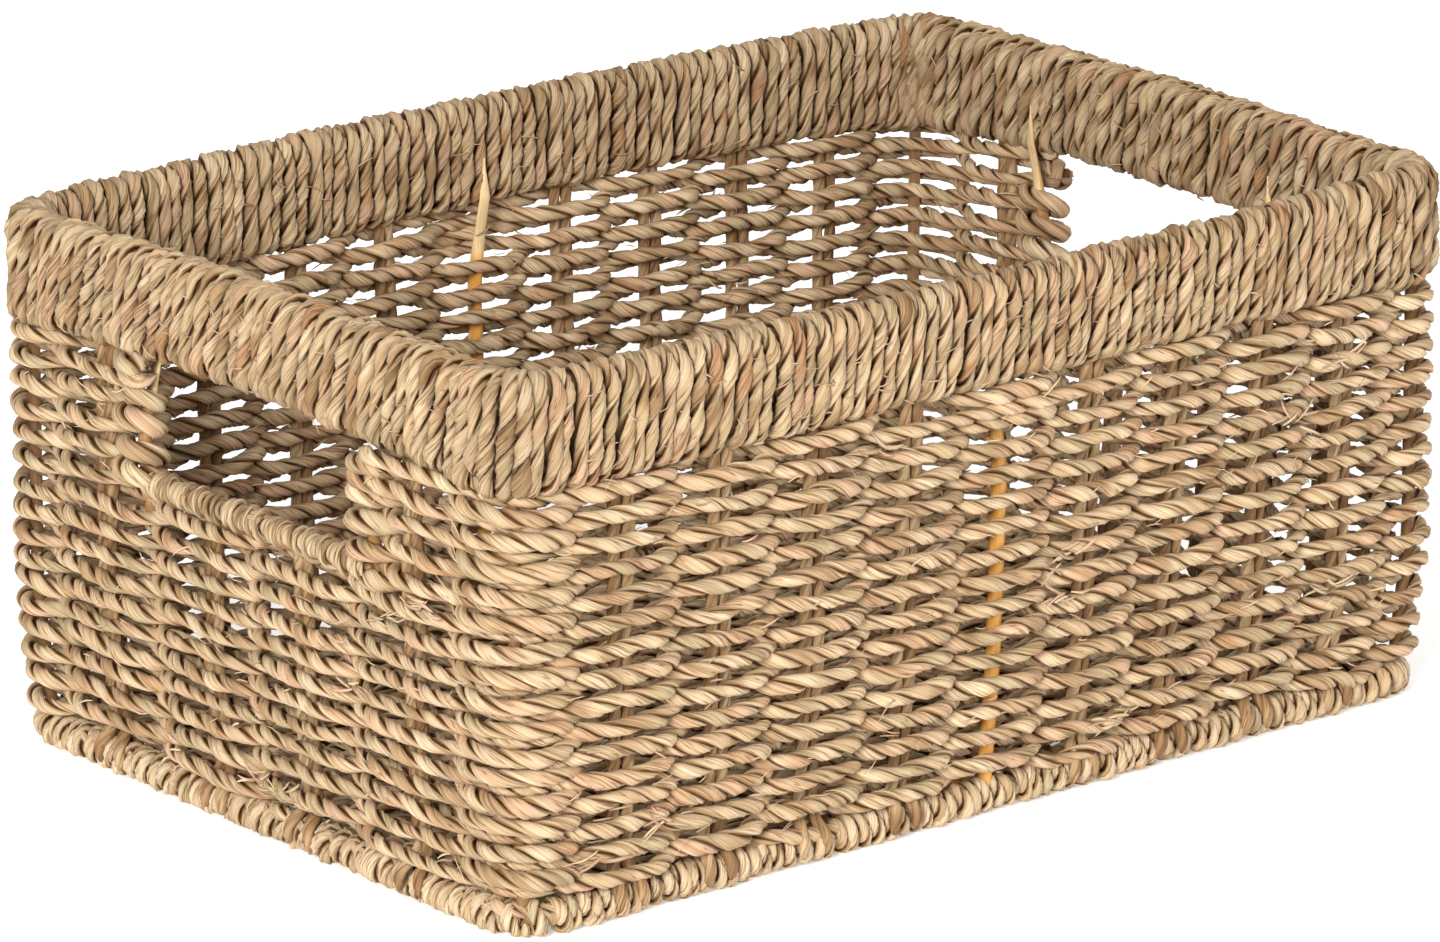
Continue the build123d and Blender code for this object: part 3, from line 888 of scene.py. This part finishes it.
def base_wrap():
    """Both layers of the base wrap, in a front half and a back half."""
    source = np.random.default_rng(31)
    for name, start, end in (("front", 0, PERIMETER / 2), ("back", PERIMETER / 2, PERIMETER)):
        weave = Weave()
        for pitch, inset, under in BASE_LAYERS:
            t = np.arange(0, (end - start) / pitch, 1 / 30)
            s = start + t * pitch + (0.3 if under else 1.6) * drift(source, t, 1.0)
            radius = BASE_RADIUS - inset + (0.1 if under else 0.55) * drift(source, t, 0.8)
            angle = -2 * math.pi * t
            line = wall_point(s, radius * np.cos(angle), BASE_LEVEL + radius * np.sin(angle))
            if under:
                one_ply(weave, source, line, along_wall(s), 2.0, 5.0, BASE_COLOURS, 1 / 24.0, 1.6, 9)
            else:
                two_ply(weave, source, line, along_wall(s), *BASE_CORD, BASE_COLOURS, 1.4, None, 0.45)
        rest_on_ground(weave, 0.02)
        piece(weave, f"base_wrap_{name}", "seagrass_wrap", "base_wrap")


# Upright strands: depth, width and turns per millimetre
WARP_STRAND = (4.0, 4.2)
WARP_TWIST = 1 / 30.0
# A pair spreads at its foot, which comes over the outside of the base wrap
SPLAY = 1.1
SPLAY_LEVELS = (5.0, 20.0)
FOOT_LEVELS = (8.0, 17.0)


def warps():
    """The pairs of strands that stand in each wall."""
    for wall in WALL_START:
        weave = Weave()
        source = random_of("warp" + wall)
        for along in LONG_PAIRS if wall in LONG_WALLS else SHORT_PAIRS:
            under_bar = wall not in LONG_WALLS and abs(along) < HANDLE_STAKE
            top = BAR_LEVEL - 3.0 if under_bar else RIM_LOW + 5
            for spread in (-PAIR_SPREAD, PAIR_SPREAD):
                z = np.arange(3.0, top, 1.5)
                splay = 1 + SPLAY * (1 - smooth(z, *SPLAY_LEVELS))
                s = on_wall(wall, along + spread * splay) + 0.5 * drift(source, z, 20.0)
                out = (BASE_RADIUS + 0.4) * (1 - smooth(z, *FOOT_LEVELS)) + 0.5 * drift(source, z, 15.0)
                line = wall_point(s, out, z)
                one_ply(weave, source, line, along_wall(s), *WARP_STRAND, WARP_COLOURS, WARP_TWIST, 1.5, 12)
        piece(weave, f"warp_{wall}", "seagrass_strand", f"warp_strands_{wall}")


# Handle bars, wound in three layers: pitch, radius, width of the strand and where its turns start
BAR_LAYERS = ((2.6, 2.9, 2.4, 0.0), (4.6, 3.8, 1.5, 0.8), (8.5, 4.3, 1.1, 0.3))


def bars():
    """The winding of both handle bars."""
    for wall in SHORT_WALLS:
        weave = Weave()
        source = random_of("bar" + wall)
        reach = HANDLE_STAKE - 2.0
        for pitch, radius, wide, start in BAR_LAYERS:
            t = np.arange(0, 2 * reach / pitch, 1 / 20)
            s = on_wall(wall, -reach + t * pitch) + (0.5 + start * 3) * drift(source, t, 0.9)
            swing = radius + 0.65 * drift(source, t, 0.7)
            angle = -2 * math.pi * (t + start)
            line = wall_point(s, swing * np.cos(angle), BAR_LEVEL + swing * np.sin(angle))
            one_ply(weave, source, line, along_wall(s), 1.7, wide, BAR_COLOURS, 1 / 20.0, 1.0, 9)
        piece(weave, f"bar_wrap_{wall}", "seagrass_wrap", f"handle_wrap_{wall}")


# The floor, whose courses pass over and under strands that run from front to back
FLOOR_PIECES = 3
FLOOR_CORD = 4.8
FLOOR_SWING = 4.4
FLOOR_STRAND = (4.2, 4.3)


def floor():
    """The floor's courses in three pieces, and its strands."""
    source = np.random.default_rng(51)
    half = floor_high[0] - 2.0
    knots = np.array([-half - 14, *sorted(LONG_PAIRS + [0.0]), half + 14])
    rows = int((floor_high[1] - floor_low[1]) / COURSE_PITCH)
    per_piece = math.ceil(rows / FLOOR_PIECES)
    for group in range(FLOOR_PIECES):
        weave = Weave()
        for row in range(group * per_piece, min(rows, (group + 1) * per_piece)):
            y = (row - (rows - 1) / 2) * COURSE_PITCH
            inset = 3.0 if abs(y) > HALF_Y - 12 else 0.0
            x = np.arange(-half + inset, half - inset, 1.0)
            sign = 1 if row % 2 == 0 else -1
            i = np.clip(np.searchsorted(knots, x, side="right") - 1, 0, len(knots) - 2)
            t = (x - knots[i]) / (knots[i + 1] - knots[i])
            wave = np.clip(1.2 * np.cos(math.pi * t), -1, 1)
            z = FLOOR_LEVEL + FLOOR_SWING * sign * np.where(i % 2 == 0, 1, -1) * -wave
            line = np.column_stack([x, np.full_like(x, y) + 0.3 * drift(source, x, 40.0), z])
            two_ply(weave, source, line, BACKWARD, FLOOR_CORD, CORD_LAY, BODY_COLOURS, 2.2)
        rest_on_ground(weave, 0.05)
        piece(weave, f"floor_courses_{group + 1}", "seagrass_cord", "floor_courses")
    weave = Weave()
    reach = HALF_Y - BASE_RADIUS
    for x in LONG_PAIRS:
        for spread in (-PAIR_SPREAD, PAIR_SPREAD):
            y = np.arange(-reach, reach, 1.5)
            line = np.column_stack([np.full_like(y, x + spread), y, np.full_like(y, FLOOR_LEVEL)])
            one_ply(weave, source, line, RIGHTWARD, *FLOOR_STRAND, WARP_COLOURS, WARP_TWIST, 1.6, 12)
    piece(weave, "floor_warp", "seagrass_strand", "floor_strands")


# Loose ends: the number of frayed tufts on each wall, and stray splits of leaf per millimetre of half a wall
TUFTS = {"front": 14, "right": 8, "back": 14, "left": 9}
STRAYS = 1.5
RIM_STRAYS = 0.8
FRAY_LEVELS = (16.0, 138.0)


def frays():
    """Stray splits of leaf on the walls and the rim, and a few frayed tufts."""
    for wall, tufts in TUFTS.items():
        weave = Weave()
        source = random_of("fray" + wall)
        half = WALL_HALF[wall]

        def loose(along, z, out, length, width, palette):
            """One split of leaf that leaves this wall."""
            s = np.array([on_wall(wall, along)])
            point = wall_point(s, [out], np.array([z]))[0]
            _, normal, direction = plan(s)
            lean = source.uniform(-0.5, 0.5)
            forward = np.append(direction[0], 0) * math.cos(lean) + UP * math.sin(lean)
            forward *= source.choice([-1, 1])
            outward = np.append(normal[0], 0) * np.sign(out)
            sliver(weave, source, point, forward, outward, length, width, palette)

        def open_place():
            """A random place on this wall, clear of a handle opening."""
            while True:
                along, z = source.uniform(-half, half), source.uniform(*FRAY_LEVELS)
                if wall in LONG_WALLS or z < BAR_LEVEL - 6 or abs(along) > HANDLE_STAKE + 6:
                    return along, z

        for _ in range(int(half * STRAYS)):
            along, z = open_place()
            out = source.choice([-1, 1], p=[0.35, 0.65]) * source.uniform(5.0, 7.2)
            loose(along, z, out, source.uniform(3.5, 9.0), source.uniform(0.25, 0.8), BODY_COLOURS)
        for _ in range(int(half * RIM_STRAYS)):
            out = source.choice([-1, 1], p=[0.35, 0.65]) * (RIM_HALF - 0.3)
            z = source.uniform(RIM_LOW + 2, HEIGHT - 8)
            along = source.uniform(-half, half)
            loose(along, z, out, source.uniform(3.0, 8.0), source.uniform(0.25, 0.7), RIM_COLOURS)
        for _ in range(tufts):
            along, z = open_place()
            out = source.choice([-1, 1], p=[0.3, 0.7]) * 6.4
            for _ in range(source.integers(5, 10)):
                aside, above = source.normal(0, 2.2), source.normal(0, 1.2)
                size = source.uniform(5.0, 11.0), source.uniform(0.6, 1.5)
                loose(along + aside, z + above, out, *size, BODY_COLOURS)
        piece(weave, f"frays_{wall}", "seagrass_strand")


full_weft()
part_weft()
rim()
base_wrap()
warps()
bars()
floor()
frays()

# Rattan rods, posts and stakes, on the same bowed walls as the weave
CANE = linear(222, 160, 78)
# Painted shade: a darker copy of the cane colour for the rods and posts that stand in shade inside the weave
SHADED_CANE = linear(134, 100, 64)
# Painted shade: a dimmer copy of the cane colour for the handle stakes at the openings
HANDLE_SHADED_CANE = linear(178, 132, 82)
PITH = linear(228, 200, 150)
POST_RADIUS = 2.1
STAKE_RADIUS = 2.4
HANDLE_STAKE_RADIUS = 2.2
RIM_ROD_RADIUS = 2.3
BASE_ROD_RADIUS = 2.4
FLOOR_ROD_RADIUS = 2.3
BAR_ROD_RADIUS = 1.9
RIM_ROD_INSET = 7.5
# A stake leans in, thins and is shaved over these levels, and its shaved side is turned to one side
TONGUE_TOP = 160.0
TONGUE_TIP = 15.0
LEAN_LEVEL = 112.0
LEAN_RISE = 34.0
THIN_LEVEL = 118.0
SHAVE_LEVELS = (122.0, 130.0)
SHAVE_TURN = 0.7


def rattan_rod(weave, source, line, side, half_deep, half_wide, shaved=None, cane=CANE):
    """A round cane with slight knuckles, whose inner side turns to pale pith where it is shaved."""
    s = np.concatenate([[0], np.cumsum(np.linalg.norm(np.diff(line, axis=0), axis=1))])
    shaved = np.zeros(len(line)) if shaved is None else shaved
    side, face = line_frame(line, side)
    count = 14
    angle = 2 * math.pi * np.arange(count) / count
    wave = 1 + 0.02 * drift(source, s, 30.0)
    deep, wide = np.outer(half_deep * wave, np.cos(angle)), np.outer(half_wide * wave, np.sin(angle))
    rings = section(line, face, side, deep, wide)
    inner = smooth(-np.cos(angle + SHAVE_TURN), -0.5, -0.2)[None, :]
    pale = (shaved[:, None] * inner)[..., None]
    tone = (1 + 0.10 * drift(source, s, 9.0))[:, None, None]
    tints = (cane * (1 - pale) + PITH * pale) * tone
    weave.tube(rings, s, np.linspace(0, 2 * math.pi * 2.3, count + 1), np.broadcast_to(tints, rings.shape))


def ring_rod(weave, z, radius):
    """A rod round all four walls at one level."""
    line = wall_point(np.arange(0, PERIMETER + 1, 2.0), 0.0, z)
    # Painted shade: the ring rods take the darker copy of the cane colour
    rattan_rod(weave, np.random.default_rng(int(z)), line, UP, radius, radius, cane=SHADED_CANE)


def upright_rod(name, node, s_at, low, high, radius, tongue):
    """A post or stake at s_at. A stake's top is shaved and leans in over the rim's inner face."""
    weave = Weave()
    source = random_of(name)
    z = np.arange(low, high + 0.1, 1.2)
    s = np.full(len(z), s_at)
    # Painted shade: a post takes the darker copy of the cane colour
    out, deep, wide, shaved, cane = np.zeros(len(z)), radius, radius, None, SHADED_CANE
    if tongue:
        at_handle = low > base_high[2]
        # Painted shade: a handle stake takes the dimmer copy of the cane colour
        cane = HANDLE_SHADED_CANE if at_handle else CANE
        if at_handle:
            # A handle stake's foot stands on the inner side of the cords below the opening
            out = -2.8 * (1 - smooth(z, BAR_LEVEL - 2.0, BAR_LEVEL + 9.0))
        lean = np.clip((z - LEAN_LEVEL) / LEAN_RISE, 0, 1) ** 1.3
        out = out - lean * (RIM_HALF - 0.3)
        deep = radius * (1 - 0.68 * smooth(z, THIN_LEVEL, RIM_LOW))
        wide = radius * (1 - 0.1 * lean) * (1 - 0.9 * smooth(z, high - TONGUE_TIP, high))
        shaved = smooth(z, *SHAVE_LEVELS)
    rattan_rod(weave, source, wall_point(s, out, z), along_wall(s), deep, wide, shaved, cane)
    piece(weave, name, "rattan", node, material=RATTAN)


def rattan_frame():
    """Every rod, post and stake."""
    weave = Weave()
    ring_rod(weave, RIM_LOW + RIM_ROD_INSET, RIM_ROD_RADIUS)
    ring_rod(weave, HEIGHT - RIM_ROD_INSET, RIM_ROD_RADIUS)
    piece(weave, "rim_rods", "rattan", "rim_bottom_rod", "rim_top_rod", material=RATTAN)
    foot = BASE_LEVEL + 2.0
    top = RIM_LOW + 5
    for at, corner in zip(CORNER_PLACES, ("front_left", "front_right", "back_right", "back_left")):
        upright_rod(f"post_{corner}", f"corner_post_{corner}", at, foot, top, POST_RADIUS, False)
    for wall in LONG_WALLS:
        at = on_wall(wall, 0.0)
        upright_rod(f"stake_mid_{wall}", f"mid_stake_{wall}", at, foot, TONGUE_TOP, STAKE_RADIUS, True)
    low = stake_low[2] - 10
    for wall, along, name in (
        ("right", -HANDLE_STAKE, "right_front"),
        ("right", HANDLE_STAKE, "right_back"),
        ("left", -HANDLE_STAKE, "left_back"),
        ("left", HANDLE_STAKE, "left_front"),
    ):
        at = on_wall(wall, along)
        upright_rod(f"stake_{name}", f"handle_stake_{name}", at, low, TONGUE_TOP, HANDLE_STAKE_RADIUS, True)
    for wall in SHORT_WALLS:
        weave = Weave()
        line = wall_point(on_wall(wall, np.arange(-HANDLE_STAKE, HANDLE_STAKE + 1, 2.0)), 0.0, BAR_LEVEL)
        source = np.random.default_rng(3)
        # Painted shade: the bar rods take the darker copy of the cane colour
        rattan_rod(weave, source, line, UP, BAR_ROD_RADIUS, BAR_ROD_RADIUS, cane=SHADED_CANE)
        piece(weave, f"bar_rod_{wall}", "rattan", f"handle_rod_{wall}", material=RATTAN)
    weave = Weave()
    ring_rod(weave, BASE_LEVEL, BASE_ROD_RADIUS)
    y = np.arange(-HALF_Y + 6, HALF_Y - 6, 2.0)
    line = np.column_stack([np.zeros(len(y)), y, np.full(len(y), FLOOR_LEVEL)])
    rattan_rod(weave, np.random.default_rng(4), line, UP, FLOOR_ROD_RADIUS, FLOOR_ROD_RADIUS)
    piece(weave, "base_rods", "rattan", "base_rod", "floor_rod", material=RATTAN)


rattan_frame()


# The studio: floor, lights and camera, in metres and degrees
CAMERA_AZIMUTH = -39.8
CAMERA_ELEVATION = 17.3
CAMERA_TARGET = np.array([-0.0193, -0.0191, 0.09])
CAMERA_DISTANCE = 2.870
CAMERA_LENS = 225.0


def studio_floor():
    """A plain pale floor, a little below the basket's foot."""
    mesh = bpy.data.meshes.new("studio_floor")
    far = 6.0
    mesh.from_pydata([(-far, -far, 0), (far, -far, 0), (far, far, 0), (-far, far, 0)], [], [(0, 1, 2, 3)])
    thing = add_object("studio_floor", mesh)
    thing.location.z = -0.0004
    material, _, shader = nodes_of("studio_paper")
    shader.inputs["Base Color"].default_value = (0.93, 0.93, 0.925, 1.0)
    shader.inputs["Roughness"].default_value = 0.9
    shader.inputs["Emission Color"].default_value = (1.0, 1.0, 1.0, 1.0)
    shader.inputs["Emission Strength"].default_value = 0.34
    mesh.materials.append(material)


def area_light(name, place, size, power, colour=(1.0, 1.0, 1.0)):
    """A square lamp that shines on the middle of the basket."""
    lamp = bpy.data.lights.new(name, "AREA")
    lamp.energy, lamp.size, lamp.color = power, size, colour
    thing = add_object(name, lamp)
    thing.location = place
    thing.rotation_euler = pointing(UP * HEIGHT * MM / 2 - np.array(place))


def pointing(direction):
    """The rotation that points a lamp or a camera in a direction."""
    return Vector(direction).to_track_quat("-Z", "Y").to_euler()


def studio():
    """The floor, four soft lamps and an even white world."""
    studio_floor()
    area_light("key_light", (-2.05, -1.35, 1.1), 0.8, 72.0, (1.0, 0.985, 0.965))
    area_light("fill_light", (1.2, -2.2, 0.9), 1.0, 22.0)
    area_light("top_light", (0.2, 0.3, 2.3), 1.0, 7.0)
    area_light("back_light", (1.5, 2.3, 1.3), 1.5, 14.0)
    world = bpy.data.worlds.new("studio_world")
    world.use_nodes = True
    background = world.node_tree.nodes["Background"]
    background.inputs["Color"].default_value = (1.0, 1.0, 1.0, 1.0)
    background.inputs["Strength"].default_value = 0.48
    bpy.context.scene.world = world
    bpy.context.scene.view_settings.view_transform = "Standard"


def camera():
    """The camera, which looks down on the front left corner from far away."""
    azimuth, elevation = math.radians(CAMERA_AZIMUTH), math.radians(CAMERA_ELEVATION)
    level_back = np.array([math.sin(azimuth), -math.cos(azimuth), 0.0])
    back = level_back * math.cos(elevation) + UP * math.sin(elevation)
    data = bpy.data.cameras.new("camera")
    data.lens = CAMERA_LENS
    thing = add_object("camera", data)
    thing.location = CAMERA_TARGET + back * CAMERA_DISTANCE
    thing.rotation_euler = pointing(-back)
    bpy.context.scene.camera = thing


studio()
camera()

bpy.context.view_layer.update()
